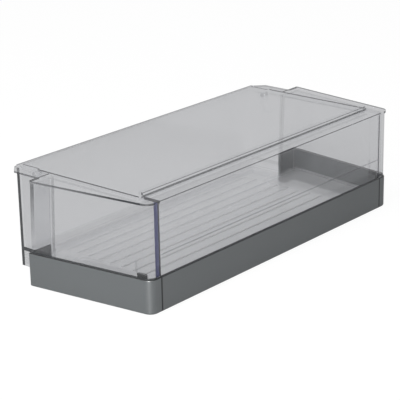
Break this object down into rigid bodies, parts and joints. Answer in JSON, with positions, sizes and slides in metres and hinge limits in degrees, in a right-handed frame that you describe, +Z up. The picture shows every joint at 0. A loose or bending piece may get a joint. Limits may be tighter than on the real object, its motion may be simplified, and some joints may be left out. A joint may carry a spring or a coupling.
{
  "type": "refrigerator door shelf",
  "caption": "Clear lidded refrigerator door shelf with a grey trim band, a ribbed floor, a separate front panel and a lid hinged at the door side.",
  "frame": {"origin": "bottom centre of the whole shelf's bounding box, on the plane it stands on", "axes": "+X to the right seen from the front, +Y from the front panel to the door side, +Z up"},
  "size_m": [0.3176, 0.137, 0.0852],
  "materials": {
    "bin_clear": "clear, faintly smoke-tinted, polished",
    "panel_clear": "clear, faintly smoke-tinted, polished",
    "lid_clear": "clear, faintly smoke-tinted, polished",
    "pin_clear": "clear, polished",
    "trim_grey": "mid grey, satin",
    "clip_dark": "dark grey, satin"
  },
  "bodies": {
    "shelf": {"bin": "bin_clear", "front_panel": "panel_clear", "front_trim": "trim_grey", "end_trim_left": "trim_grey", "end_trim_right": "trim_grey", "corner_clip_left": "clip_dark", "corner_clip_right": "clip_dark"},
    "lid": {"lid": "lid_clear", "hinge_pin_left": "pin_clear", "hinge_pin_right": "pin_clear"}
  },
  "joints": [
    {"name": "lid_hinge", "type": "hinge", "parent": "shelf", "child": "lid", "pos_m": [0, 0.051, 0.0774], "axis": [-1, 0, 0], "range_deg": [0, 100]}
  ]
}
